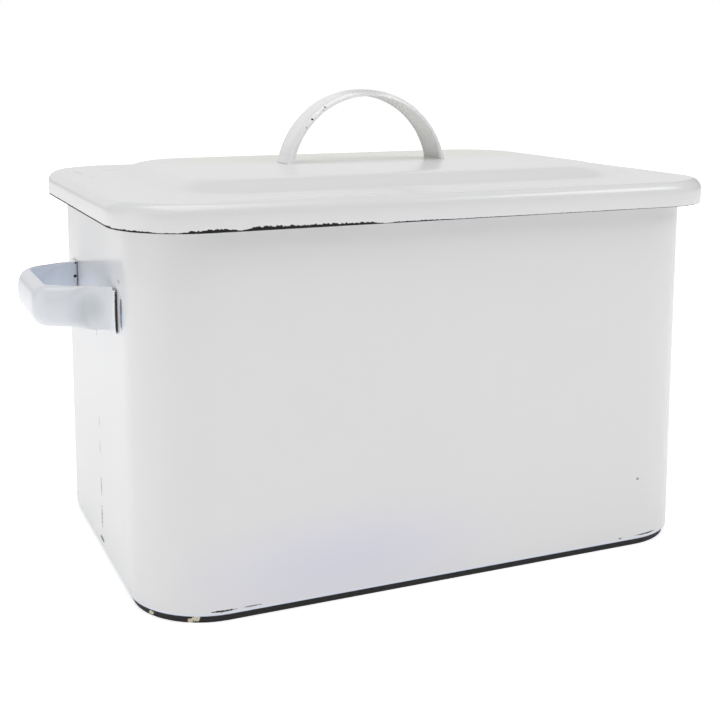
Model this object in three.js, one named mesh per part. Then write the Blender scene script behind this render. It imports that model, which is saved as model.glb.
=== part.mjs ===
// Bread bin of enamelled sheet steel with a lift-off lid. Millimetres, +Z up.
// X runs along the long side and the front faces -Y. The origin is the middle of the foot rim's underside,
// on the surface that the bin stands on. Every piece is pressed or rolled sheet, so each one is a closed
// skin of one sheet thickness, lofted through rings of points.

import * as THREE from 'three';

// Driving dimensions.
const BODY_LENGTH = 320;
const BODY_DEPTH = 220;
const BODY_HEIGHT = 205.5;
const BODY_CORNER = 40;
const SHEET = 1;

// Rolled bead around the wall's top edge.
const BEAD_RADIUS = 4.2;
const BEAD_TURN = 290;

// Base: a shallow pan set into the wall, its turned-down flange standing below the wall as a foot rim.
const WALL_LIFT = 4.1;
const PAN_FIT = 0.3;
const FOOT_INSET = 2;
const FOOT_HEIGHT = 3.2;
const FLOOR_TOP = 10.5;
const PAN_FOLD = 3.5;

// Lid: skirt, rounded edge, flat flange with a shallow gutter, then a low domed crown.
const LID_OVERHANG = 9.2;
const LID_CORNER_EASE = 1;
const LID_CORNER = BODY_CORNER + LID_CORNER_EASE;
const LID_SEAT = 0.2;
const LID_SKIRT = 13.4;
const LID_EDGE = 5;
const FLANGE_WIDTH = 26;
const GUTTER_DEPTH = 0.5;
const CROWN_SLOPE = 26;
const CROWN_RISE = 6.7;
const CROWN_CORNER_EASE = 0;
const CROWN_CORNER = BODY_CORNER + CROWN_CORNER_EASE;
const PLATEAU_CORNER = 28;
const DOME_RISE = 0.8;

// Side handles: a pressed channel bent to a D, its ends flattened and welded to the flat of the end panels.
const HANDLE_HEIGHT = 19.2;
const HANDLE_FOOT_HEIGHT = 21.8;
const HANDLE_DEPTH = 6.8;
const HANDLE_DROP = 57.7;
const HANDLE_MARGIN = 12;
const HANDLE_REACH = 30.2;
const HANDLE_FOOT = 6.5;
const HANDLE_FOOT_BEND = 7;
const HANDLE_ANGLE = 56;
const HANDLE_CORNER = 11;
const HANDLE_FLAT = 12;
const HANDLE_SWELL = 14;
const WELD_GAP = 0.05;
const HANDLE_MIDDLE = BODY_HEIGHT - HANDLE_DROP;
const HANDLE_SPAN = BODY_DEPTH - 2 * (BODY_CORNER + HANDLE_MARGIN);

// Lid handle: a lighter channel bent to an arch, its toes turned out and welded to the crown.
const GRIP_SET = -2;
const GRIP_WIDTH = 20;
const GRIP_TOE_WIDTH = 21.5;
const GRIP_DEPTH = 4.3;
const GRIP_RADIUS = 51.9;
const GRIP_HEIGHT = 41;
const GRIP_TOE = 2.5;
const GRIP_TOE_BEND = 3;
const GRIP_SWELL = 8;
const GRIP_GAP = 0.3;

// How full the channels' rounded sections are: 2 is an ellipse and more is squarer.
const HANDLE_FULLNESS = 2.4;
const GRIP_FULLNESS = 1.9;

// Facets.
const CORNER_STEPS = 8;
const SECTION_STEPS = 8;

const radians = THREE.MathUtils.degToRad;
const smooth = (value, low, high) => THREE.MathUtils.smoothstep(value, low, high);

// One closed skin through rings of points. Each ring is joined to the next; the last joins the first when
// the rings close on themselves, and otherwise a fan about its middle closes each end.
function loft(rings, closesOnItself) {
  const size = rings[0].length;
  const points = rings.flat();
  const faces = [];
  const pairs = closesOnItself ? rings.length : rings.length - 1;
  for (let row = 0; row < pairs; row += 1) {
    const here = row * size;
    const next = ((row + 1) % rings.length) * size;
    for (let k = 0; k < size; k += 1) {
      const side = (k + 1) % size;
      faces.push([here + k, here + side, next + side]);
      faces.push([here + k, next + side, next + k]);
    }
  }
  if (!closesOnItself) {
    for (const row of [0, rings.length - 1]) {
      const middle = new THREE.Vector3();
      rings[row].forEach((point) => middle.addScaledVector(point, 1 / size));
      const start = row * size;
      for (let k = 0; k < size; k += 1) {
        const side = (k + 1) % size;
        const outwards = row > 0;
        faces.push([points.length, start + (outwards ? k : side), start + (outwards ? side : k)]);
      }
      points.push(middle);
    }
  }
  let volume = 0;
  for (const [a, b, c] of faces) {
    volume += points[a].dot(new THREE.Vector3().crossVectors(points[b], points[c]));
  }
  const order = volume < 0 ? faces.map(([a, b, c]) => [a, c, b]) : faces;
  const geometry = new THREE.BufferGeometry();
  geometry.setFromPoints(points);
  geometry.setIndex(order.flat());
  geometry.computeVertexNormals();
  return geometry;
}

// Rounded rectangle in plan, as a ring of points at one height.
function planRing(halfLength, halfDepth, corner, height) {
  const right = halfLength - corner;
  const back = halfDepth - corner;
  const outline = new THREE.Shape();
  outline.absarc(right, back, corner, 0, radians(90));
  outline.absarc(-right, back, corner, radians(90), radians(180));
  outline.absarc(-right, -back, corner, radians(180), radians(270));
  outline.absarc(right, -back, corner, radians(270), radians(360));
  return outline.getPoints(CORNER_STEPS / 2).map((point) => new THREE.Vector3(point.x, point.y, height));
}

// Ring that follows the body's wall, moved in from its outer face.
function bodyRing(inset, height) {
  return planRing(BODY_LENGTH / 2 - inset, BODY_DEPTH / 2 - inset, BODY_CORNER - inset, height);
}

// Points of an arc in a profile, whose first coordinate is the inset and whose second is the height.
function profileArc(inset, height, radius, fromDegrees, toDegrees, steps) {
  const points = [];
  for (let step = 0; step <= steps; step += 1) {
    const angle = radians(THREE.MathUtils.lerp(fromDegrees, toDegrees, step / steps));
    points.push([inset + radius * Math.cos(angle), height + radius * Math.sin(angle)]);
  }
  return points;
}

// Body: one sheet wrapped to a rounded rectangle, butt-welded at an end panel, its top edge rolled outwards.
function bodyShell() {
  const beadInset = SHEET - BEAD_RADIUS;
  const beadHeight = BODY_HEIGHT - BEAD_RADIUS;
  const steps = 9;
  const outside = profileArc(beadInset, beadHeight, BEAD_RADIUS, 0, BEAD_TURN, steps);
  const inside = profileArc(beadInset, beadHeight, BEAD_RADIUS - SHEET, BEAD_TURN, 0, steps);
  const profile = [[SHEET, WALL_LIFT], ...outside, ...inside, [0, WALL_LIFT]];
  return loft(profile.map(([inset, height]) => bodyRing(inset, height)), true);
}

// Base pan: floor, fold, and a flange that leans in to the foot rim.
function basePan() {
  const flange = SHEET + PAN_FIT;
  const foldHeight = FLOOR_TOP - PAN_FOLD;
  const upper = profileArc(flange + PAN_FOLD, foldHeight, PAN_FOLD, 90, 180, 3);
  const lower = profileArc(flange + PAN_FOLD, foldHeight, PAN_FOLD - SHEET, 180, 90, 3);
  const profile = [
    ...upper,
    [FOOT_INSET, FOOT_HEIGHT],
    [FOOT_INSET, 0],
    [FOOT_INSET + SHEET, 0],
    [FOOT_INSET + SHEET, FOOT_HEIGHT],
    ...lower,
  ];
  return loft(profile.map(([inset, height]) => bodyRing(inset, height)), false);
}

// Lid profile: insets from the skirt, heights of the outer face, and the plan corner at each.
const LID_HALF_LENGTH = BODY_LENGTH / 2 + LID_OVERHANG;
const LID_HALF_DEPTH = BODY_DEPTH / 2 + LID_OVERHANG;
const FLANGE_TOP = BODY_HEIGHT + LID_SEAT + SHEET;
const PLATEAU_INSET = FLANGE_WIDTH + CROWN_SLOPE;
const PLATEAU_TOP = FLANGE_TOP + CROWN_RISE;

function lidCorner(inset) {
  if (inset <= LID_EDGE) return LID_CORNER - Math.max(inset, 0);
  if (inset <= FLANGE_WIDTH) {
    return THREE.MathUtils.mapLinear(inset, LID_EDGE, FLANGE_WIDTH, LID_CORNER - LID_EDGE, CROWN_CORNER);
  }
  return THREE.MathUtils.mapLinear(inset, FLANGE_WIDTH, PLATEAU_INSET, CROWN_CORNER, PLATEAU_CORNER);
}

// Height of the crown's plateau, where share runs from 0 at the middle to 1 at the plateau's edge.
function domeTop(share) {
  return PLATEAU_TOP + DOME_RISE * (1 - share * share);
}

function lidShell() {
  const skirt = [[0, FLANGE_TOP - LID_SKIRT]];
  const edge = profileArc(LID_EDGE, FLANGE_TOP - LID_EDGE, LID_EDGE, 180, 90, 4);
  const gutterMiddle = (LID_EDGE + FLANGE_WIDTH) / 2;
  const flange = [[gutterMiddle, FLANGE_TOP - GUTTER_DEPTH]];
  const slope = [];
  const slopeSteps = 6;
  for (let step = 0; step <= slopeSteps; step += 1) {
    const share = step / slopeSteps;
    slope.push([FLANGE_WIDTH + CROWN_SLOPE * share, FLANGE_TOP + CROWN_RISE * smooth(share, 0, 1)]);
  }
  const outer = [...skirt, ...edge, ...flange, ...slope];
  const inner = outer.map(([inset, height], k) => {
    const [beforeInset, beforeHeight] = outer[Math.max(k - 1, 0)];
    const [afterInset, afterHeight] = outer[Math.min(k + 1, outer.length - 1)];
    const run = Math.hypot(afterInset - beforeInset, afterHeight - beforeHeight);
    const inwards = (afterHeight - beforeHeight) / run;
    const downwards = (afterInset - beforeInset) / run;
    return k === 0 ? [SHEET, height] : [inset + SHEET * inwards, height - SHEET * downwards];
  });
  const ringAt = ([inset, height], corner) =>
    planRing(LID_HALF_LENGTH - inset, LID_HALF_DEPTH - inset, corner, height);
  const outerRings = outer.map((spot) => ringAt(spot, lidCorner(spot[0])));
  const innerRings = inner.map((spot, k) => ringAt(spot, lidCorner(outer[k][0]) - (spot[0] - outer[k][0])));
  const domeRings = (sheet) => [0.8, 0.6, 0.4, 0.2].map((share) => planRing(
    (LID_HALF_LENGTH - PLATEAU_INSET) * share,
    (LID_HALF_DEPTH - PLATEAU_INSET) * share,
    PLATEAU_CORNER * share,
    domeTop(share) - sheet,
  ));
  const rings = [...domeRings(0).reverse(), ...outerRings.reverse(), ...innerRings, ...domeRings(SHEET)];
  return loft(rings, false);
}

// Walks a flat strap path made of straights and bends, and returns stations at its steps. Each move is
// [length, turn in degrees, steps]; a station holds its place, its side direction and the length walked.
function walkPath(start, heading, moves) {
  const place = start.clone();
  let angle = radians(heading);
  let walked = 0;
  const stations = [];
  const note = () => stations.push({
    place: place.clone(),
    outwards: new THREE.Vector2(-Math.sin(angle), Math.cos(angle)),
    walked,
  });
  note();
  for (const [length, turn, steps] of moves) {
    const piece = length / steps;
    const bend = radians(turn) / steps;
    for (let step = 0; step < steps; step += 1) {
      const chord = bend === 0 ? piece : (2 * piece * Math.sin(bend / 2)) / bend;
      place.addScaledVector(new THREE.Vector2(Math.cos(angle + bend / 2), Math.sin(angle + bend / 2)), chord);
      angle += bend;
      walked += piece;
      note();
    }
  }
  return stations;
}

// Section of a pressed channel as a closed ring: across its width, and out from its open side.
function channelSection(width, depth, fullness) {
  const side = (halfWidth, rise, step) => {
    const angle = Math.PI * (step / SECTION_STEPS);
    const across = Math.sign(Math.cos(angle)) * Math.abs(Math.cos(angle)) ** (2 / fullness);
    const out = Math.sin(angle) ** (2 / fullness);
    return [-halfWidth * across, step === 0 || step === SECTION_STEPS ? 0 : rise * out];
  };
  const section = [];
  for (let step = 0; step <= SECTION_STEPS; step += 1) section.push(side(width / 2, depth, step));
  for (let step = SECTION_STEPS; step >= 0; step -= 1) section.push(side(width / 2 - SHEET, depth - SHEET, step));
  return section;
}

// A channel swept along stations. Its ends are flat sheet and a little wider, and it swells to full depth
// past them; place maps a spot in the path's plane, and a distance across the width, to a point.
function strap(stations, shape, place) {
  const total = stations[stations.length - 1].walked;
  const rings = stations.map((station) => {
    const fromEnd = Math.min(station.walked, total - station.walked);
    const share = smooth(fromEnd, shape.flat, shape.flat + shape.swell);
    const width = THREE.MathUtils.lerp(shape.endWidth, shape.width, share);
    const depth = THREE.MathUtils.lerp(SHEET, shape.depth, share);
    return channelSection(width, depth, shape.fullness).map(([across, out]) => {
      const spot = station.place.clone().addScaledVector(station.outwards, out);
      return place(spot, across);
    });
  });
  return loft(rings, false);
}

// Side handle, on the end panel at side -1 (left) or 1 (right). The path lies in plan: out from the panel
// and along it.
function sideHandle(side) {
  const angle = radians(HANDLE_ANGLE);
  const bends = HANDLE_FOOT_BEND + HANDLE_CORNER;
  const bendLength = angle * HANDLE_FOOT_BEND;
  const cornerLength = angle * HANDLE_CORNER;
  const armLength = (HANDLE_REACH - bends * (1 - Math.cos(angle))) / Math.sin(angle);
  const armShift = armLength * Math.cos(angle) + bends * Math.sin(angle);
  const noseLength = HANDLE_SPAN - 2 * (HANDLE_FOOT + armShift);
  const stations = walkPath(new THREE.Vector2(-HANDLE_SPAN / 2, WELD_GAP), 0, [
    [HANDLE_FOOT, 0, 1],
    [bendLength, HANDLE_ANGLE, 4],
    [armLength, 0, 6],
    [cornerLength, -HANDLE_ANGLE, 4],
    [noseLength, 0, 1],
    [cornerLength, -HANDLE_ANGLE, 4],
    [armLength, 0, 6],
    [bendLength, HANDLE_ANGLE, 4],
    [HANDLE_FOOT, 0, 1],
  ]);
  const panel = BODY_LENGTH / 2;
  const place = (spot, across) => new THREE.Vector3(side * (panel + spot.y), spot.x, HANDLE_MIDDLE + across);
  const shape = {
    width: HANDLE_HEIGHT,
    endWidth: HANDLE_FOOT_HEIGHT,
    depth: HANDLE_DEPTH,
    flat: HANDLE_FLAT,
    swell: HANDLE_SWELL,
    fullness: HANDLE_FULLNESS,
  };
  return strap(stations, shape, place);
}

// Lid handle: an arch over the middle of the crown, in the plane of the long side.
function lidHandle() {
  const inner = GRIP_RADIUS - GRIP_DEPTH;
  const footShare = inner / (LID_HALF_LENGTH - PLATEAU_INSET);
  const footTop = domeTop(footShare) + GRIP_GAP;
  const centreHeight = domeTop(0) + GRIP_HEIGHT - GRIP_RADIUS;
  const drop = (footTop + GRIP_TOE_BEND - centreHeight) / (inner + GRIP_TOE_BEND);
  const rise = Math.asin(drop);
  const halfTurn = radians(90) - rise;
  const toeStart = (inner + GRIP_TOE_BEND) * Math.cos(rise);
  const degrees = THREE.MathUtils.radToDeg(halfTurn);
  const start = new THREE.Vector2(-toeStart - GRIP_TOE, footTop);
  const stations = walkPath(start, 0, [
    [GRIP_TOE, 0, 1],
    [halfTurn * GRIP_TOE_BEND, degrees, 4],
    [2 * halfTurn * inner, -2 * degrees, 20],
    [halfTurn * GRIP_TOE_BEND, degrees, 4],
    [GRIP_TOE, 0, 1],
  ]);
  const place = (spot, across) => new THREE.Vector3(GRIP_SET + spot.x, across, spot.y);
  const shape = {
    width: GRIP_WIDTH,
    endWidth: GRIP_TOE_WIDTH,
    depth: GRIP_DEPTH,
    flat: GRIP_TOE,
    swell: GRIP_SWELL,
    fullness: GRIP_FULLNESS,
  };
  return strap(stations, shape, place);
}

const WHITE_ENAMEL = { color: 0xdfe0e2, roughness: 0.25, metalness: 0 };
const BLACK_ENAMEL = { color: 0x17181d, roughness: 0.4, metalness: 0 };

const breadBin = new THREE.Group();

function add(name, geometry, finish) {
  const mesh = new THREE.Mesh(geometry, new THREE.MeshStandardMaterial(finish));
  mesh.name = name;
  breadBin.add(mesh);
}

add('body_shell', bodyShell(), WHITE_ENAMEL);
add('base_pan', basePan(), BLACK_ENAMEL);
add('left_handle', sideHandle(-1), WHITE_ENAMEL);
add('right_handle', sideHandle(1), WHITE_ENAMEL);
add('lid_shell', lidShell(), WHITE_ENAMEL);
add('lid_handle', lidHandle(), WHITE_ENAMEL);

export default breadBin;
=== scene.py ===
"""Bread bin of white enamelled steel with a lift-off lid, on a plain white table."""
import math

import bmesh
import bpy
from mathutils import Matrix, Vector


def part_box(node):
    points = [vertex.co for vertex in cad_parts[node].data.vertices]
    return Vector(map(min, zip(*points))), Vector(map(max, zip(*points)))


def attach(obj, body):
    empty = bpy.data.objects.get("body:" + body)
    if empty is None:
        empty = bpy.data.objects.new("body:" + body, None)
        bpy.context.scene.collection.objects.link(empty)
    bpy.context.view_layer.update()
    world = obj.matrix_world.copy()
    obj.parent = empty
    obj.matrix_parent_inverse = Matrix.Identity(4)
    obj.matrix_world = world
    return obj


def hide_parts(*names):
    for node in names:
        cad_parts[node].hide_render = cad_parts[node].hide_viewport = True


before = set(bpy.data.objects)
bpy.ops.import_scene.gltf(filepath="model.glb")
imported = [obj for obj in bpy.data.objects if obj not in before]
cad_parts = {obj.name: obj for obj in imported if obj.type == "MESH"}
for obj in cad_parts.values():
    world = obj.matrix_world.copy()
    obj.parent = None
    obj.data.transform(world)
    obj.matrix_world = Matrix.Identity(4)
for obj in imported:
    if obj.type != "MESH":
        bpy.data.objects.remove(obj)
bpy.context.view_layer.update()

# -----------------------------------------------------------------------------------------------
# Studio: a plain white table in a white room, as for a catalogue. A wide soft light hangs overhead,
# one to the front right lights the front, small ones the end and the near corner, and one at the
# back the far side.

MM = 0.001
PAPER_FIBRES = 40.0         # mottle about every 25 mm, coarse enough to show
PAPER_GLOW_NEAR = 0.6
PAPER_GLOW_FAR = 0.8
PAPER_GLOW_FADE = (0.15, 0.75)      # metres from the bin's middle
PAPER_SPILL = 0.52          # how much of the glow falls on the bin
TABLE_SIZE = 12.0
ROOM_LIGHT = 0.34


def paint(hex_colour):
    """Linear colour, with full alpha, of an sRGB hex value."""
    shares = [int(hex_colour[k:k + 2], 16) / 255 for k in (1, 3, 5)]
    return (*[s / 12.92 if s <= 0.04045 else ((s + 0.055) / 1.055) ** 2.4 for s in shares], 1.0)


def add_node(tree, kind, settings, inputs):
    """A new node with its settings, and its inputs set to values or linked to other outputs."""
    node = tree.nodes.new(kind)
    for name, value in settings.items():
        setattr(node, name, value)
    for name, value in inputs.items():
        if isinstance(value, bpy.types.NodeSocket):
            tree.links.new(value, node.inputs[name])
        else:
            node.inputs[name].default_value = value
    return node


def new_material(name):
    """An empty material and its node tree."""
    material = bpy.data.materials.new(name)
    material.use_nodes = True
    material.node_tree.nodes.clear()
    return material, material.node_tree


# Matt white paper over the table: evenly pale, with only a faint mottle of its fibres. It glows with
# painted light, more away from the bin so that it fades into the white room, and a share of that glow
# lights the bin from below.
paper, tree = new_material("matt_white_paper")
place = add_node(tree, "ShaderNodeTexCoord", {}, {}).outputs["Object"]
fibres = add_node(tree, "ShaderNodeTexNoise", {},
                  {"Vector": place, "Scale": PAPER_FIBRES, "Detail": 3.0})
tint = add_node(tree, "ShaderNodeMix", {"data_type": "RGBA"},
                {0: fibres.outputs["Fac"], 6: paint("#F7F7F7"), 7: paint("#FDFDFD")})
away = add_node(tree, "ShaderNodeVectorMath", {"operation": "LENGTH"}, {0: place})
glow = add_node(tree, "ShaderNodeMapRange", {"interpolation_type": "SMOOTHSTEP"},
                {"Value": away.outputs["Value"], 1: PAPER_GLOW_FADE[0], 2: PAPER_GLOW_FADE[1],
                 3: PAPER_GLOW_NEAR, 4: PAPER_GLOW_FAR})
seen = add_node(tree, "ShaderNodeLightPath", {}, {})
shown = add_node(tree, "ShaderNodeMapRange", {},
                 {"Value": seen.outputs["Is Camera Ray"], 3: PAPER_SPILL, 4: 1.0})
glow = add_node(tree, "ShaderNodeMath", {"operation": "MULTIPLY"},
                {0: glow.outputs[0], 1: shown.outputs[0]})
sheet = add_node(tree, "ShaderNodeBsdfPrincipled", {},
                 {"Base Color": tint.outputs[2], "Roughness": 0.9, "Specular IOR Level": 0.1,
                  "Emission Color": paint("#FFFFFF"), "Emission Strength": glow.outputs[0]})
add_node(tree, "ShaderNodeOutputMaterial", {}, {"Surface": sheet.outputs[0]})

bpy.ops.object.select_all(action="DESELECT")
bpy.ops.mesh.primitive_grid_add(x_subdivisions=24, y_subdivisions=24, size=TABLE_SIZE)
table = bpy.context.object
table.name = "table"
table.data.materials.append(paper)

scene = bpy.context.scene
scene.view_settings.view_transform = "Standard"
scene.view_settings.look = "None"
room = bpy.data.worlds.new("white_room")
scene.world = room
room.use_nodes = True
tree = room.node_tree
tree.nodes.clear()
walls = add_node(tree, "ShaderNodeBackground", {},
                 {"Color": paint("#FAFAFA"), "Strength": ROOM_LIGHT})
backdrop = add_node(tree, "ShaderNodeBackground", {}, {"Color": paint("#FFFFFF"), "Strength": 1.0})
seen = add_node(tree, "ShaderNodeLightPath", {}, {})
both = add_node(tree, "ShaderNodeMixShader", {},
                {0: seen.outputs["Is Camera Ray"], 1: walls.outputs[0], 2: backdrop.outputs[0]})
add_node(tree, "ShaderNodeOutputWorld", {}, {"Surface": both.outputs[0]})


def aim(spot, target):
    """The turn that points a light or a camera at a spot towards a target."""
    return (Vector(target) - Vector(spot)).to_track_quat("-Z", "Y").to_euler()


def softbox(name, spot, target, width, height, watts):
    """A rectangular white light that faces a point, sizes in metres."""
    bpy.ops.object.light_add(type="AREA", location=spot)
    lamp = bpy.context.object
    lamp.name = name
    lamp.data.shape = "RECTANGLE"
    lamp.data.size = width
    lamp.data.size_y = height
    lamp.data.energy = watts
    lamp.rotation_euler = aim(spot, target)


softbox("end_light", (-1.5, -0.05, 0.5), (0, 0, 0.2), 1.0, 1.0, 2.3)
softbox("corner_light", (-1.0, -0.9, 1.0), (-0.15, -0.1, 0.2), 0.25, 0.25, 0.4)
softbox("front_light", (1.05, -0.85, 1.2), (0.12, 0, 0.1), 0.6, 0.6, 4.7)
softbox("overhead_light", (-0.25, -0.05, 1.7), (0, 0, 0.2), 1.6, 1.4, 13.5)
softbox("back_light", (0.4, 2.4, 0.9), (0, 0, 0.2), 3.6, 1.4, 7.0)

CAMERA_PLACE = (-0.2862, -0.6472, 0.2703)
CAMERA_TARGET = (-0.00804, 0.0, 0.16763)
CAMERA_LENS = 60.57         # on a sensor 36 mm wide
CAMERA_SHIFT = (0.0108, -0.1674)
bpy.ops.object.camera_add(location=CAMERA_PLACE)
camera = bpy.context.object
camera.name = "camera"
camera.rotation_euler = aim(CAMERA_PLACE, CAMERA_TARGET)
camera.data.sensor_width = 36.0
camera.data.lens = CAMERA_LENS
camera.data.shift_x, camera.data.shift_y = CAMERA_SHIFT
scene.camera = camera

# -----------------------------------------------------------------------------------------------
# Wall: one sheet of steel wrapped to a rounded rectangle and butt-welded down the left end panel.
# Its top edge is rolled outwards to a bead. White vitreous enamel covers it inside and out.

SHEET = 1.0 * MM
CORNER_X = 120 * MM       # the upright corners' centres
CORNER_Y = 70 * MM
WALL_END = 160 * MM       # outer face of the end panels
WALL_TOP = 205.5 * MM
BEAD_RADIUS = 4.2 * MM
BEAD_GAP = 1.5 * MM       # left open between the bead's curl and the wall
SEAM_Y = -3 * MM
CORNER_STEPS = 16
FRONT_STEPS = 24
END_STEPS = 14
HALF_END_STEPS = 8
HEIGHT_STEPS = 16
ROUND_POINTS = 36         # in a full circle of a rolled edge
WELD_WITHIN = 0.02 * MM
NEARLY = 0.01 * MM
SOFT_BELOW = 40           # degrees: flatter edges than this are shaded smooth
wall_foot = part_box("body_shell")[0].z


def open_piece(name):
    """Names the primitive just added, puts its place in its mesh and opens it for modelling."""
    piece = bpy.context.object
    piece.name = name
    piece.data.name = name
    bpy.ops.object.transform_apply(location=True, rotation=True, scale=True)
    bpy.ops.object.mode_set(mode="EDIT")
    bpy.ops.mesh.select_mode(type="VERT")
    return piece


def pick(piece, test):
    """Selects only the open piece's points that pass the test, with the faces between them."""
    bpy.ops.mesh.select_all(action="DESELECT")
    mesh = bmesh.from_edit_mesh(piece.data)
    for point in mesh.verts:
        if test(point):
            point.select_set(True)
    mesh.select_flush(True)
    bmesh.update_edit_mesh(piece.data)


def draw_out(x, y, z, steps):
    """Extrudes the selection along a straight, in equal steps."""
    for _ in range(steps):
        bpy.ops.mesh.extrude_region_move(
            TRANSFORM_OT_translate={"value": (x / steps, y / steps, z / steps)})


def wrap_round(start_y):
    """Carries the selected section once round the bin, anticlockwise from the left end panel."""
    draw_out(0, -CORNER_Y - start_y, 0, HALF_END_STEPS)
    turns = ((-CORNER_X, -CORNER_Y, 2 * CORNER_X, 0, FRONT_STEPS),
             (CORNER_X, -CORNER_Y, 0, 2 * CORNER_Y, END_STEPS),
             (CORNER_X, CORNER_Y, -2 * CORNER_X, 0, FRONT_STEPS),
             (-CORNER_X, CORNER_Y, 0, start_y - CORNER_Y, HALF_END_STEPS))
    for x, y, along_x, along_y, steps in turns:
        bpy.ops.mesh.spin(steps=CORNER_STEPS, angle=-math.radians(90),
                          center=(x, y, 0), axis=(0, 0, 1))
        draw_out(along_x, along_y, 0, steps)
    bpy.ops.mesh.select_all(action="SELECT")
    bpy.ops.mesh.remove_doubles(threshold=WELD_WITHIN)


def face_outwards(piece, probe, outwards):
    """Turns the open sheet so that the face nearest the probe looks along outwards."""
    bpy.ops.mesh.select_all(action="SELECT")
    bpy.ops.mesh.normals_make_consistent(inside=False)
    mesh = bmesh.from_edit_mesh(piece.data)
    nearest = min(mesh.faces, key=lambda face: (face.calc_center_median() - Vector(probe)).length)
    if nearest.normal.dot(Vector(outwards)) < 0:
        bpy.ops.mesh.flip_normals()


def close_piece():
    """Leaves the open piece's modelling."""
    bpy.ops.object.mode_set(mode="OBJECT")


def take_up(piece):
    """Selects only this piece, for the next operator to work on."""
    bpy.ops.object.select_all(action="DESELECT")
    piece.select_set(True)
    bpy.context.view_layer.objects.active = piece


def thicken(piece, thickness, other_side=0):
    """Gives the sheet its thickness, behind the face that was modelled. other_side is how many
    materials further on the new side and the cut edges take theirs."""
    solid = piece.modifiers.new("sheet_thickness", "SOLIDIFY")
    solid.thickness = thickness
    solid.material_offset = solid.material_offset_rim = other_side
    solid.offset = -1.0
    solid.use_even_offset = True
    take_up(piece)
    bpy.ops.object.modifier_apply(modifier=solid.name)


def smooth_over(piece, degrees):
    """Shades the piece smooth, except over edges sharper than the angle."""
    take_up(piece)
    bpy.ops.object.shade_smooth_by_angle(angle=math.radians(degrees))


def add_ring(radius, x, z):
    """A circle of edges standing across the seam, as the section of a rolled or folded edge."""
    bpy.ops.object.select_all(action="DESELECT")
    bpy.ops.mesh.primitive_circle_add(vertices=ROUND_POINTS, radius=radius, fill_type="NOTHING",
                                      location=(x, SEAM_Y, z), rotation=(math.radians(90), 0, 0))


bead_x = SHEET - BEAD_RADIUS - WALL_END
bead_z = WALL_TOP - BEAD_RADIUS
add_ring(BEAD_RADIUS, bead_x, bead_z)
wall = open_piece("wall")
pick(wall, lambda p: p.co.x > bead_x + BEAD_GAP and p.co.z < bead_z - 0.1 * MM)
bpy.ops.mesh.delete(type="VERT")
pick(wall, lambda p: abs(p.co.z - bead_z) < NEARLY and p.co.x > bead_x)
draw_out(0, 0, wall_foot - bead_z, HEIGHT_STEPS)
bpy.ops.mesh.select_all(action="SELECT")
wrap_round(SEAM_Y)
face_outwards(wall, (SHEET - WALL_END, 0, 0.1), (1, 0, 0))
close_piece()
thicken(wall, SHEET)
smooth_over(wall, SOFT_BELOW)

GRIT = 900.0                # a chipped edge breaks up about every millimetre
CLOUD = 14.0                # thin and thick coat come and go about every 70 mm
RIPPLE = 160.0              # the fired coat's orange peel, about 6 mm across
WAVES = 22.0                # and its slack swells, about 45 mm
WAVES_OVER_RIPPLE = 6.0
RIPPLE_HEIGHT = 0.06 * MM
PINHOLE_CELLS = 55.0        # one place for a pinhole about every 18 mm
PINHOLE_REACH = 0.018       # of such a cell, so about 0.3 mm
PINHOLE_RARITY = 0.97
GLOSSY = 0.2
BARE_STEEL_ROUGH = 0.8
GLASS_IOR = 1.52


def tone_patch(tree, place, colour, centre, reach, tone, ragged=0.6, core=0.8):
    """Shows another tone through a colour, round a centre in mm, out to a ragged or soft edge."""
    near = add_node(tree, "ShaderNodeMapping", {"vector_type": "TEXTURE"},
                    {"Vector": place, "Location": [c * MM for c in centre],
                     "Scale": [r * MM for r in reach]})
    away = add_node(tree, "ShaderNodeVectorMath", {"operation": "LENGTH"}, {0: near.outputs[0]})
    grit = add_node(tree, "ShaderNodeTexNoise", {},
                    {"Vector": place, "Scale": GRIT, "Detail": 2.0})
    edge = add_node(tree, "ShaderNodeMath", {"operation": "MULTIPLY_ADD"},
                    {0: grit.outputs["Fac"], 1: 2 * ragged, 2: away.outputs["Value"]})
    mask = add_node(tree, "ShaderNodeMapRange", {"interpolation_type": "SMOOTHSTEP"},
                    {"Value": edge.outputs[0], 1: core + ragged, 2: 1.0 + ragged, 3: 1.0, 4: 0.0})
    return add_node(tree, "ShaderNodeMix", {"data_type": "RGBA"},
                    {0: mask.outputs[0], 6: colour, 7: paint(tone)}).outputs[2]


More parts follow.
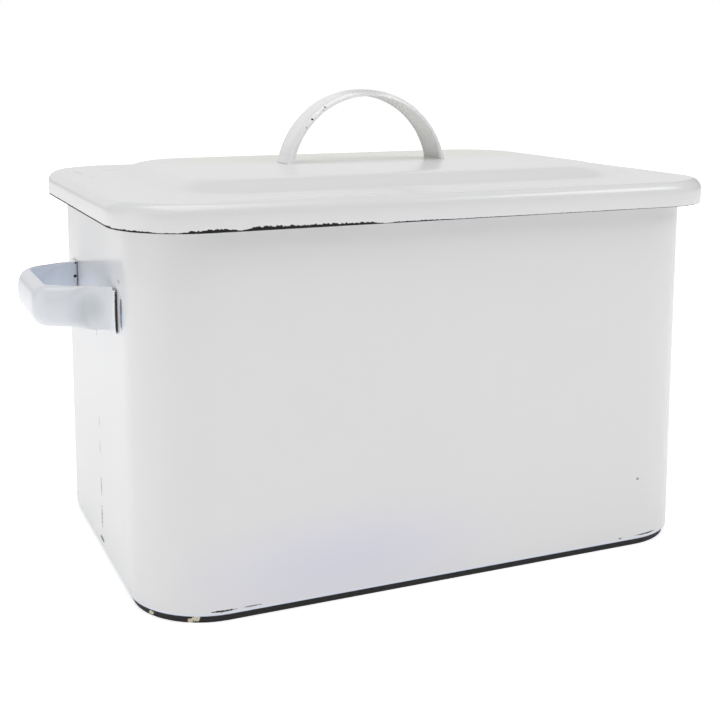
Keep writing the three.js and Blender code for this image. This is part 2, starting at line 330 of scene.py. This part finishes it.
# White vitreous enamel: glass frit fired onto steel. It gives the eye a hard wet gloss over a
# slightly rippled coat, a hint of cool grey where it is thin, and a few black pinholes.
def white_enamel(name, tone_patches, thin="#E9E9EB", thick="#EBEBEB", bare_edge=None):
    """White enamel with its scuffs and patches of painted light and shade. bare_edge(tree, place)
    gives a mask of where the coat ends.
    """
    material, tree = new_material(name)
    place = add_node(tree, "ShaderNodeTexCoord", {}, {}).outputs["Object"]
    cloud = add_node(tree, "ShaderNodeTexNoise", {},
                     {"Vector": place, "Scale": CLOUD, "Detail": 2.0})
    colour = add_node(tree, "ShaderNodeMix", {"data_type": "RGBA"},
                      {0: cloud.outputs["Fac"], 6: paint(thin), 7: paint(thick)}).outputs[2]
    cells = add_node(tree, "ShaderNodeTexVoronoi", {}, {"Vector": place, "Scale": PINHOLE_CELLS})
    pin = add_node(tree, "ShaderNodeMath", {"operation": "LESS_THAN"},
                   {0: cells.outputs["Distance"], 1: PINHOLE_REACH})
    draw = add_node(tree, "ShaderNodeSeparateColor", {}, {"Color": cells.outputs["Color"]})
    rare = add_node(tree, "ShaderNodeMath", {"operation": "GREATER_THAN"},
                    {0: draw.outputs[0], 1: PINHOLE_RARITY})
    pinhole = add_node(tree, "ShaderNodeMath", {"operation": "MULTIPLY"},
                       {0: pin.outputs[0], 1: rare.outputs[0]})
    colour = add_node(tree, "ShaderNodeMix", {"data_type": "RGBA"},
                      {0: pinhole.outputs[0], 6: colour, 7: paint("#2B2D38")}).outputs[2]
    for details in tone_patches:
        colour = tone_patch(tree, place, colour, *details)
    roughness = GLOSSY
    if bare_edge:
        bare = bare_edge(tree, place)
        colour = add_node(tree, "ShaderNodeMix", {"data_type": "RGBA"},
                          {0: bare, 6: colour, 7: paint("#06070A")}).outputs[2]
        roughness = add_node(tree, "ShaderNodeMapRange", {},
                             {"Value": bare, 3: GLOSSY, 4: BARE_STEEL_ROUGH}).outputs[0]
    ripple = add_node(tree, "ShaderNodeTexNoise", {},
                      {"Vector": place, "Scale": RIPPLE, "Detail": 1.0})
    waves = add_node(tree, "ShaderNodeTexNoise", {},
                     {"Vector": place, "Scale": WAVES, "Detail": 0.0})
    height = add_node(tree, "ShaderNodeMath", {"operation": "MULTIPLY_ADD"},
                      {0: waves.outputs["Fac"], 1: WAVES_OVER_RIPPLE, 2: ripple.outputs["Fac"]})
    bump = add_node(tree, "ShaderNodeBump", {},
                    {"Strength": 0.35, "Distance": RIPPLE_HEIGHT, "Height": height.outputs[0]})
    glass = add_node(tree, "ShaderNodeBsdfPrincipled", {},
                     {"Base Color": colour, "Roughness": roughness, "IOR": GLASS_IOR,
                      "Normal": bump.outputs[0]})
    add_node(tree, "ShaderNodeOutputMaterial", {}, {"Surface": glass.outputs[0]})
    return material


# Each scuff, and each patch of painted light and shade: centre and reach in mm, tone, how ragged, and
# how far out the tone is full.
WALL_MARKS_AND_PAINTED_LIGHT_AND_SHADE = [
    # a lilac cast low on the front, and a painted bluish highlight along the wall's lower edge
    ((-60, -110, 22), (110, 20, 34), "#E2E2EE", 0.0, 0.0),
    ((0, 0, 4.1), (400, 400, 1.5), "#E6ECF8", 0.1, 0.4),
    # scratches just above the foot, and a dark speck
    ((-124, -110, 6.0), (7, 3, 0.55), "#34363E", 0.7),
    ((-109, -110, 6.1), (5, 3, 0.35), "#7C7E86", 0.7),
    ((127, -109, 6.0), (8, 4, 0.45), "#3E4048", 0.7),
    ((108.5, -110, 5.8), (1.2, 3, 0.5), "#8A8C92", 0.4),
    ((119, -110, 39.3), (0.9, 3, 0.7), "#8C8E94", 0.2),
    # the weld line, where it shows through, and the chip at its foot
    ((-160, -3, 22), (2, 1.5, 6), "#2C2E37", 2.0),
    ((-160, -3, 39.5), (2, 1.2, 6), "#6E7079", 1.0),
    ((-160, -3, 62), (2, 0.8, 4), "#B4B6BB", 0.6),
    ((-160, -3, 76), (2, 0.8, 3), "#BCBEC3", 0.6),
    ((-160, -3, 132), (2, 0.9, 9), "#B0B2B8", 0.4),
    ((-160, -2, 8.6), (3, 5.5, 1.5), "#08090C", 0.1),
    # marks beside the side handle's front foot, painted bluish shade on the panel just in front of
    # that foot, and painted pale bluish light on the end panel behind the handle, which lightens the
    # handle's shadow there
    ((-160, -66, 148), (3, 3.2, 9), "#3A4260", 0.7),
    ((-160, -67, 143.3), (3, 3.0, 1.2), "#15161B", 0.2),
    ((-160, -62, 163.7), (3, 4.0, 1.2), "#C3C5C8", 0.1, 0.3),
    ((-160, -70, 145), (3, 4, 11), "#D5E3F2", 0.1, 0.3),
    ((-160, 0, 147), (3, 58, 15), "#F3F6FF", 0.0, 0.3),
    # a spot low on the back corner
    ((-159.7, 74.6, 9.0), (3, 3.5, 1.4), "#4A4B50", 0.3),
]
wall.data.materials.append(white_enamel("white_vitreous_enamel", WALL_MARKS_AND_PAINTED_LIGHT_AND_SHADE))
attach(wall, "bin")
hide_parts("body_shell")

# -----------------------------------------------------------------------------------------------
# Foot pan: the bottom, a shallow pressed pan set into the wall. Its edge is folded down to a foot
# rim that stands 4 mm below the wall. White enamel covers its floor, and the rest keeps only the
# blue-black ground coat.

FOOT_INSET = 2 * MM
FOOT_HEIGHT = 3.2 * MM
PAN_FIT = 1.3 * MM        # from the wall's outer face to the pan's turned edge
PAN_FOLD = 3.5 * MM
PAN_INSET = 12 * MM       # between the rings of faces on its floor
PAN_CLOUD = 120.0         # the coat's mottle, about 8 mm across
PAN_PIT_DEPTH = 0.2 * MM
FACING_UP = 0.1           # least upward share of the floor's and fold's normals
SATIN = 0.55
pan_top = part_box("base_pan")[1].z

fold_x = PAN_FIT + PAN_FOLD - WALL_END
fold_z = pan_top - PAN_FOLD
add_ring(PAN_FOLD, fold_x, fold_z)
foot_pan = open_piece("foot_pan")
pick(foot_pan, lambda p: p.co.x > fold_x + NEARLY or p.co.z < fold_z - NEARLY)
bpy.ops.mesh.delete(type="VERT")
pick(foot_pan, lambda p: abs(p.co.z - fold_z) < NEARLY)
draw_out(FOOT_INSET - PAN_FIT, 0, FOOT_HEIGHT - fold_z, 1)
draw_out(0, 0, -FOOT_HEIGHT, 2)
bpy.ops.mesh.select_all(action="SELECT")
wrap_round(SEAM_Y)
pick(foot_pan, lambda p: abs(p.co.z - pan_top) < NEARLY)
bpy.ops.mesh.edge_face_add()
for _ in range(2):
    bpy.ops.mesh.inset(thickness=PAN_INSET)
face_outwards(foot_pan, (0, 0, pan_top), (0, 0, 1))
close_piece()
thicken(foot_pan, SHEET)
smooth_over(foot_pan, SOFT_BELOW)

# Ground-coat enamel: the cobalt-black first coat, satin and slightly pitted, brown where it is worn
# thin on the rim, with a few cream chips knocked out of it.
ground_coat, tree = new_material("black_ground_coat_enamel")
place = add_node(tree, "ShaderNodeTexCoord", {}, {}).outputs["Object"]
cloud = add_node(tree, "ShaderNodeTexNoise", {},
                 {"Vector": place, "Scale": PAN_CLOUD, "Detail": 4.0})
coat = add_node(tree, "ShaderNodeMix", {"data_type": "RGBA"},
                {0: cloud.outputs["Fac"], 6: paint("#04050C"), 7: paint("#0C0A0A")})
PAN_SCUFFS = [
    # brown along the worn lower edge, navy along the upper one
    ((0, 0, 0), (400, 400, 1.1), "#2C211C", 0.4, 0.2),
    ((0, 0, 4.3), (400, 400, 1.6), "#1C2668", 0.25, 0.3),
    # white enamel that ran over it, low on the front
    ((15, -110, 4.6), (105, 6, 1.7), "#DFE4F0", 0.12, 0.9),
    # chips round the front left corner
    ((-135.6, -104.6, 2.3), (1.9, 3, 1.9), "#E2D9C2", 0.5),
    ((-138.5, -103.2, 1.0), (1.3, 3, 1.3), "#E2D9C2", 0.5),
    ((-153.8, -87.4, 1.2), (1.1, 3, 1.1), "#E2D9C2", 0.5),
]
colour = coat.outputs[2]
for details in PAN_SCUFFS:
    colour = tone_patch(tree, place, colour, *details)
pits = add_node(tree, "ShaderNodeBump", {},
                {"Strength": 0.3, "Distance": PAN_PIT_DEPTH, "Height": cloud.outputs["Fac"]})
glass = add_node(tree, "ShaderNodeBsdfPrincipled", {},
                 {"Base Color": colour, "Roughness": SATIN, "IOR": 1.5, "Normal": pits.outputs[0]})
add_node(tree, "ShaderNodeOutputMaterial", {}, {"Surface": glass.outputs[0]})
foot_pan.data.materials.append(ground_coat)

# The floor inside the bin is glazed white like the wall, down over the fold.
foot_pan.data.materials.append(white_enamel("white_enamel_inside_the_pan", []))
for face in foot_pan.data.polygons:
    if face.normal.z > FACING_UP and face.center.z > fold_z:
        face.material_index = 1
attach(foot_pan, "bin")
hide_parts("base_pan")

# -----------------------------------------------------------------------------------------------
# Lid: one deep-drawn sheet. Its skirt hangs over the bead, its edge is rounded, and inside a flat
# flange with a shallow gutter a low domed crown rises. Its lower edge is cut bare of white enamel.

LID_EDGE = 6 * MM
FLANGE_WIDTH = 26 * MM
CROWN_SLOPE = 26 * MM
CROWN_RISE = 6.7 * MM
GUTTER_DEPTH = 0.8 * MM
FLANGE_HEIGHT = 13.4 * MM   # above the skirt's lower edge
SKIRT_LOOPS = ((0.2 * MM, 1.4 * MM), (0.06 * MM, 3.2 * MM), (0.0, 5.2 * MM))    # inset and rise
GUTTER_STEPS = 6
SLOPE_STEPS = 8
LID_CORNER_STEPS = 14
DOME_SHARES = (0.85, 0.7, 0.5, 0.3, 0.12)      # loops of the plateau, as shares of its size
CUT_SPACING = 20            # mm between the cuts that even out the crown's faces
CUTS_X = 110                # mm of the outermost cuts
CUTS_Y = 60
LID_CORNER = 41 * MM
SKIRT_TUCK = 0.4 * MM       # how far the skirt draws in at its lower edge
CROWN_CORNER = 40 * MM
PLATEAU_CORNER = 28 * MM
lid_low, lid_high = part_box("lid_shell")
flange_z = lid_low.z + FLANGE_HEIGHT
dome_rise = lid_high.z - flange_z - CROWN_RISE
plateau_inset = FLANGE_WIDTH + CROWN_SLOPE

# Loops from the skirt's lower edge to the crown: how far in, how high, and the plan's corner.
lid_loops = [(SKIRT_TUCK, lid_low.z, LID_CORNER - SKIRT_TUCK)]
for inset, rise in SKIRT_LOOPS:
    lid_loops.append((inset, lid_low.z + rise, LID_CORNER - inset))
for degrees in range(0, 91, 15):
    inset = LID_EDGE * (1 - math.cos(math.radians(degrees)))
    height = flange_z - LID_EDGE * (1 - math.sin(math.radians(degrees)))
    lid_loops.append((inset, height, LID_CORNER - inset))
for step in range(1, GUTTER_STEPS + 1):
    share = step / GUTTER_STEPS
    dip = GUTTER_DEPTH * math.sin(math.pi * share) ** 2
    lid_loops.append((LID_EDGE + (FLANGE_WIDTH - LID_EDGE) * share, flange_z - dip,
                      LID_CORNER - LID_EDGE + (CROWN_CORNER - LID_CORNER + LID_EDGE) * share))
for step in range(1, SLOPE_STEPS + 1):
    share = step / SLOPE_STEPS
    rise = CROWN_RISE * share * share * (3 - 2 * share)
    lid_loops.append((FLANGE_WIDTH + CROWN_SLOPE * share, flange_z + rise,
                      CROWN_CORNER + (PLATEAU_CORNER - CROWN_CORNER) * share))
plateau_x = lid_high.x - plateau_inset
plateau_y = lid_high.y - plateau_inset

bpy.ops.object.select_all(action="DESELECT")
bpy.ops.mesh.primitive_plane_add(size=2)
lid = open_piece("lid")
bpy.ops.mesh.delete(type="VERT")
loop_ends = [0]


def add_loop(half_x, half_y, corner, height):
    """Adds one rounded rectangle of edges to the open piece and notes which points are its own."""
    bpy.ops.mesh.primitive_plane_add(size=2, location=(0, 0, height))
    bpy.ops.transform.resize(value=(half_x, half_y, 1))
    bpy.ops.mesh.bevel(offset=corner, offset_type="OFFSET", segments=LID_CORNER_STEPS, profile=0.5,
                       affect="VERTICES")
    bpy.ops.mesh.delete(type="ONLY_FACE")
    loop_ends.append(len(bmesh.from_edit_mesh(lid.data).verts))


for inset, height, corner in lid_loops:
    add_loop(lid_high.x - inset, lid_high.y - inset, corner, height)
for share in DOME_SHARES:
    add_loop(plateau_x * share, plateau_y * share, PLATEAU_CORNER * share,
             lid_high.z - dome_rise * share * share)
for before, after in zip(loop_ends, loop_ends[2:]):
    pick(lid, lambda p: before <= p.index < after)
    bpy.ops.mesh.bridge_edge_loops()
pick(lid, lambda p: p.index >= loop_ends[-2])
bpy.ops.mesh.edge_face_add()
bpy.ops.mesh.poke()
for cut in range(-CUTS_X, CUTS_X + 1, CUT_SPACING):
    bpy.ops.mesh.select_all(action="SELECT")
    bpy.ops.mesh.bisect(plane_co=(cut * MM, 0, 0), plane_no=(1, 0, 0))
for cut in range(-CUTS_Y, CUTS_Y + 1, CUT_SPACING):
    bpy.ops.mesh.select_all(action="SELECT")
    bpy.ops.mesh.bisect(plane_co=(0, cut * MM, 0), plane_no=(0, 1, 0))
face_outwards(lid, (0, 0, lid_high.z), (0, 0, 1))
close_piece()
thicken(lid, SHEET)
smooth_over(lid, SOFT_BELOW)


# How far the bare edge reaches up, in mm, by the way along the left and front sides: X minus Y,
# in mm. It is widest and most ragged left of the front's middle.
BARE_REACH = ((-250, 0.9), (-92, 0.8), (-86, 1.4), (-80, 0.7), (-70, 1.0), (-50, 0.9),
              (-40, 0.5), (-27, 0.5), (-22, 1.2), (-12, 1.7), (0, 1.4), (3, 0.7), (7, 1.0),
              (12, 2.0), (24, 1.8), (52, 1.5), (70, 1.2), (78, 0.15), (84, 0.7), (100, 0.7),
              (115, 0.4), (240, 0.25))
BARE_MOST = 2.0
BARE_SPAN = 300             # mm of X minus Y to either side that the table covers
BARE_TEETH = 800.0          # ragged about every 1.2 mm
BARE_STREAK = 0.15          # drawn out upright, to this share of the frequency
TEETH_NOISE = (0.35, 0.65)
TEETH_SHARES = (0.7, 1.2)   # of the reach, between short teeth and long ones


def lid_bare_edge(tree, place):
    """Black along the cut lower edge, wider and ragged at the front left."""
    spot = add_node(tree, "ShaderNodeSeparateXYZ", {}, {"Vector": place})
    along = add_node(tree, "ShaderNodeMath", {"operation": "SUBTRACT"},
                     {0: spot.outputs["X"], 1: spot.outputs["Y"]})
    way = add_node(tree, "ShaderNodeMapRange", {},
                   {"Value": along.outputs[0], 1: -BARE_SPAN * MM, 2: BARE_SPAN * MM})
    reach = add_node(tree, "ShaderNodeValToRGB", {}, {"Fac": way.outputs[0]})
    stops = reach.color_ramp.elements
    stops.remove(stops[1])
    for k, (spot_mm, reach_mm) in enumerate(BARE_REACH):
        stop = stops[0] if k == 0 else stops.new(0.99)
        stop.position = (spot_mm + BARE_SPAN) / (2 * BARE_SPAN)
        stop.color = (*[reach_mm / BARE_MOST] * 3, 1)
    upright = add_node(tree, "ShaderNodeMapping", {}, {"Vector": place, "Scale": (1, 1, BARE_STREAK)})
    ragged = add_node(tree, "ShaderNodeTexNoise", {},
                      {"Vector": upright.outputs[0], "Scale": BARE_TEETH, "Detail": 2.0})
    teeth = add_node(tree, "ShaderNodeMapRange", {},
                     {"Value": ragged.outputs["Fac"], 1: TEETH_NOISE[0], 2: TEETH_NOISE[1],
                      3: TEETH_SHARES[0], 4: TEETH_SHARES[1]})
    high = add_node(tree, "ShaderNodeMath", {"operation": "MULTIPLY"},
                    {0: reach.outputs["Color"], 1: teeth.outputs[0]})
    line = add_node(tree, "ShaderNodeMath", {"operation": "MULTIPLY_ADD"},
                    {0: high.outputs[0], 1: BARE_MOST * MM, 2: lid_low.z})
    return add_node(tree, "ShaderNodeMath", {"operation": "LESS_THAN"},
                    {0: spot.outputs["Z"], 1: line.outputs[0]}).outputs[0]


LID_MARKS_AND_PAINTED_SHADE = [
    # the crown is yellowed round the handle, and painted olive-grey shade lies in the flange's gutter
    # at both ends, standing in for the dark reflection the gutter shows there
    ((10, 40, 212), (150, 62, 12), "#E5E6DC", 0.0, 0.5),
    ((-153, 75, 204.5), (3.5, 24, 3), "#C3C5BC", 0.5, 0.0),
    ((-151, 42, 204.5), (2.5, 14, 3), "#D0D1C4", 0.6, 0.0),
    ((162, -48, 204.5), (5, 20, 3), "#CDCDC4", 0.5, 0.0),
]
lid.data.materials.append(
    white_enamel("white_enamel_cut_edge", LID_MARKS_AND_PAINTED_SHADE, bare_edge=lid_bare_edge))
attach(lid, "lid")
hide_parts("lid_shell")

# -----------------------------------------------------------------------------------------------
# Side handles: a strip of steel pressed to a shallow channel and bent to a D. Round dies flatten
# its ends, which are welded to the end panels. One is modelled, and the other is its mirror image.

HANDLE_HEIGHT = 19.2 * MM
HANDLE_FOOT_HEIGHT = 21.8 * MM
HANDLE_DEPTH = 6.8 * MM
HANDLE_FEET = (6.5 * MM, 10.5 * MM)         # lengths, front and back
HANDLE_FOOT_BENDS = (7 * MM, 2.5 * MM)      # radii along the inner edges, front and back
HANDLE_CORNERS = (5.5 * MM, 16 * MM)        # the same, where the arms meet the nose
HANDLE_ANGLES = (math.radians(56), math.radians(64))
HANDLE_REACH = 30.2 * MM
HANDLE_SPAN = 116 * MM
HANDLE_FULLNESS = 2.4       # of the channel's section: 2 is an ellipse, more is squarer
CHANNEL_ROWS = 16
STRAP_SOFT_BELOW = 50
handle_low, handle_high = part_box("right_handle")


def strap_path(name, start, moves, heading=0.0):
    """A flat path for a strap, of straights and bends given as (length, turn in radians) moves."""
    spot, length = Vector(start), 0.0
    spots = [spot.copy()]
    for run, turn in moves:
        steps = 1 if turn == 0 else max(8, round(abs(math.degrees(turn)) / 4))
        for _ in range(steps):
            bend = turn / steps
            chord = run / steps if bend == 0 else 2 * (run / steps) * math.sin(bend / 2) / bend
            heading += bend / 2
            spot = spot + chord * Vector((math.cos(heading), math.sin(heading), 0))
            heading += bend / 2
            spots.append(spot.copy())
        length += run
    line = bpy.data.curves.new(name, "CURVE")
    line.dimensions = "3D"
    spline = line.splines.new("POLY")
    spline.points.add(len(spots) - 1)
    for point, spot in zip(spline.points, spots):
        point.co = (*spot, 1)
    path = bpy.data.objects.new(name, line)
    scene.collection.objects.link(path)
    return path, length


def channel_strip(name, length, width, depth, fullness):
    """A straight strip from 0 along X, its width up Z, pressed to a channel towards +Y."""
    rows = CHANNEL_ROWS
    bpy.ops.object.select_all(action="DESELECT")
    bpy.ops.mesh.primitive_grid_add(x_subdivisions=round(length / MM), y_subdivisions=rows, size=2,
                                    location=(length / 2, 0, 0), rotation=(math.radians(90), 0, 0))
    strip = open_piece(name)
    bpy.ops.transform.resize(value=(length / 2, 1, width / 2), center_override=(length / 2, 0, 0))
    mesh = bmesh.from_edit_mesh(strip.data)
    lines = [{p.index for p in mesh.verts if round((p.co.z / width + 0.5) * rows) == k}
             for k in range(rows + 1)]
    for k, line in enumerate(lines):
        angle = math.pi * k / rows
        across = -math.copysign(abs(math.cos(angle)) ** (2 / fullness), math.cos(angle)) * width / 2
        bulge = abs(math.sin(angle)) ** (2 / fullness) * depth
        pick(strip, lambda p: p.index in line)
        bpy.ops.transform.translate(value=(0, bulge, across - (k / rows - 0.5) * width))
    return strip


def press_down(strip, middle, test, depth_share, width_share, blend):
    """Changes the depth and width of the strip where its points pass the test, by dies."""
    pick(strip, test)
    bpy.ops.transform.resize(value=(1, depth_share, width_share), center_override=(middle, 0, 0),
                             use_proportional_edit=True, proportional_edit_falloff="SMOOTH",
                             proportional_size=blend)


def bend_along(piece, path):
    """Bends the straight piece along the path for good, and clears the path away."""
    bend = piece.modifiers.new("bend", "CURVE")
    bend.object = path
    bend.deform_axis = "POS_X"
    take_up(piece)
    bpy.ops.object.modifier_apply(modifier=bend.name)
    bpy.data.objects.remove(path)


def put_in_place(piece, turn, place):
    """Turns the finished piece about an axis and moves it, keeping both in its mesh."""
    piece.data.transform(Matrix.Translation(place) @ Matrix.Rotation(math.radians(90), 4, turn))
    piece.data.update()


DIE_CENTRE = 16 * MM      # from the strip's end
DIE_RADIUS = 9 * MM
DIE_SHARE = 0.04          # of the channel's depth that the die leaves
DIE_BLEND = 9 * MM
ARM_SHALLOW = 24 * MM     # the arms are pressed shallower up to here
ARM_SHARE = 0.7
ARM_BLEND = 24 * MM
WELD_GAP = 0.05 * MM
nose = HANDLE_SPAN
halves = []
for foot, foot_bend, corner, angle in zip(HANDLE_FEET, HANDLE_FOOT_BENDS,
                                          HANDLE_CORNERS, HANDLE_ANGLES):
    bends = foot_bend + corner
    arm = (HANDLE_REACH - bends * (1 - math.cos(angle))) / math.sin(angle)
    nose -= foot + arm * math.cos(angle) + bends * math.sin(angle)
    halves.append([(foot, 0), (angle * foot_bend, angle), (arm, 0), (angle * corner, -angle)])
handle_moves = halves[0] + [(nose, 0)] + halves[1][::-1]
path, length = strap_path("handle_path", (-HANDLE_SPAN / 2, WELD_GAP, 0), handle_moves)
left_handle = channel_strip("left_side_handle", length, HANDLE_HEIGHT, HANDLE_DEPTH - SHEET,
                            HANDLE_FULLNESS)
for end, way, spread in ((0, 1, HANDLE_FOOT_HEIGHT / HANDLE_HEIGHT), (length, -1, 1.0)):
    die = end + way * DIE_CENTRE
    press_down(left_handle, end, lambda p: (p.co.x - end) * way < ARM_SHALLOW,
               ARM_SHARE, 1.0, ARM_BLEND)
    press_down(left_handle, end,
               lambda p: (p.co.x - die) * way < 0 or math.hypot(p.co.x - die, p.co.z) < DIE_RADIUS,
               DIE_SHARE, spread, DIE_BLEND)
face_outwards(left_handle, (length / 2, HANDLE_DEPTH, 0), (0, -1, 0))
close_piece()
bend_along(left_handle, path)
HANDLE_MARKS_AND_PAINTED_LIGHT_AND_SHADE = [
    # painted grey shade in the die's dimple, and painted light on the front foot, which brightens the
    # shade of its bend
    ((-169, -40.5, 147.8), (10, 11, 11), "#CDD3D6", 0.0, 0.2),
    ((-160, -56, 147.8), (4, 8, 14), "#FBF9FF", 0.0, 0.4),
    # black along both feet's cut ends, where they join the end panel
    ((-160.6, -58.4, 147.8), (2, 2.2, 13), "#0E0F13", 0.5),
    ((-160.6, 58.2, 147.8), (2, 0.6, 13), "#121318", 0.35),
    # specks on the front foot's corner and the front bend
    ((-161, -54.5, 158.6), (1.6, 2.6, 0.8), "#3C3F4E", 0.4),
    ((-190, -30, 154.5), (0.8, 0.8, 0.8), "#B9B6AE", 0.2),
]
# Black specks inside, at the back foot.
INSIDE_SCUFFS = [
    ((-161.8, 45.3, 149.2), (1.2, 1.3, 1.0), "#101116", 0.15),
    ((-161.5, 46, 156.8), (1.1, 1.1, 0.8), "#2A2C36", 0.3),
]
# Inside the handles, the enamel's bluish tones are painted shade.
left_handle.data.materials.append(
    white_enamel("white_enamel_inside_handles_painted_bluish_shade", INSIDE_SCUFFS, "#E0E8F6", "#E8EEF8"))
left_handle.data.materials.append(
    white_enamel("white_enamel_on_side_handles", HANDLE_MARKS_AND_PAINTED_LIGHT_AND_SHADE, "#DFE4ED", "#E9EAEC"))
thicken(left_handle, SHEET, 1)
put_in_place(left_handle, "Z", (-WALL_END, 0, (handle_low.z + handle_high.z) / 2))
smooth_over(left_handle, STRAP_SOFT_BELOW)
right_handle = left_handle.copy()
right_handle.data = left_handle.data.copy()
right_handle.name = right_handle.data.name = "right_side_handle"
scene.collection.objects.link(right_handle)
right_handle.data.transform(Matrix.Diagonal((-1, 1, 1, 1)))
right_handle.data.flip_normals()
for handle, node in ((left_handle, "left_handle"), (right_handle, "right_handle")):
    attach(handle, "bin")
    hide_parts(node)

# -----------------------------------------------------------------------------------------------
# Lid handle: a lighter channel bent to an arch. Its feet are welded to the crown, and the enamel
# that ran into the joints flares them.

GRIP_SET = -2 * MM
GRIP_WIDTH = 19 * MM
GRIP_DEPTH = 3.7 * MM
GRIP_RADIUS = 50.6 * MM
GRIP_SINK = 1.2 * MM      # below the CAD strap's lowest point, to where enamel fills the joint
GRIP_SHEET = 2.0 * MM     # steel and its two thick coats
GRIP_FULLNESS = 2.8
FLARE_REACH = 1 * MM
FLARE_DEPTH = 1.3
FLARE_WIDTH = 1.06
FLARE_BLEND = 4 * MM
grip_low, grip_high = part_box("lid_handle")

inner = GRIP_RADIUS - GRIP_DEPTH
arch_z = grip_high.z - GRIP_RADIUS
foot_z = grip_low.z - GRIP_SINK
rise = math.asin((foot_z - arch_z) / inner)
half_turn = math.pi / 2 - rise
path, length = strap_path("grip_path", (-inner * math.cos(rise), foot_z, 0),
                          [(2 * half_turn * inner, -2 * half_turn)], half_turn)
grip = channel_strip("lid_handle_strap", length, GRIP_WIDTH, GRIP_DEPTH - GRIP_SHEET,
                     GRIP_FULLNESS)
for end, way in ((0, 1), (length, -1)):
    press_down(grip, end, lambda p: (p.co.x - end) * way < FLARE_REACH,
               FLARE_DEPTH, FLARE_WIDTH, FLARE_BLEND)
face_outwards(grip, (length / 2, GRIP_DEPTH, 0), (0, -1, 0))
close_piece()
bend_along(grip, path)
# The crest is painted greyer, shade that tones down its top under the overhead light, and specks lie
# along the front edge.
GRIP_MARKS_AND_PAINTED_SHADE = [
    ((0, -2, 255), (26, 16, 5), "#CDCECD", 0.0, 0.2),
    ((-37, -10.5, 238.9), (0.7, 1.5, 0.65), "#101116", 0.1),
    ((-29.2, -10.5, 245.5), (0.9, 1.6, 0.8), "#8A8C92", 0.1, 0.5),
    ((-30.5, -10.5, 244.0), (0.7, 1.2, 0.6), "#A6A8AC", 0.1, 0.5),
    ((-40.5, -10.5, 234.2), (0.7, 1.4, 1.2), "#B4B6BA", 0.1, 0.3),
]
thicken(grip, GRIP_SHEET)
put_in_place(grip, "X", (GRIP_SET, 0, 0))
smooth_over(grip, STRAP_SOFT_BELOW)
# Its enamel is painted lighter than the wall's, light that lifts the arch's shaded inner faces.
grip.data.materials.append(
    white_enamel("white_enamel_on_lid_handle", GRIP_MARKS_AND_PAINTED_SHADE, "#F4F4F6", "#F7F7F7"))
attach(grip, "lid")
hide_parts("lid_handle")
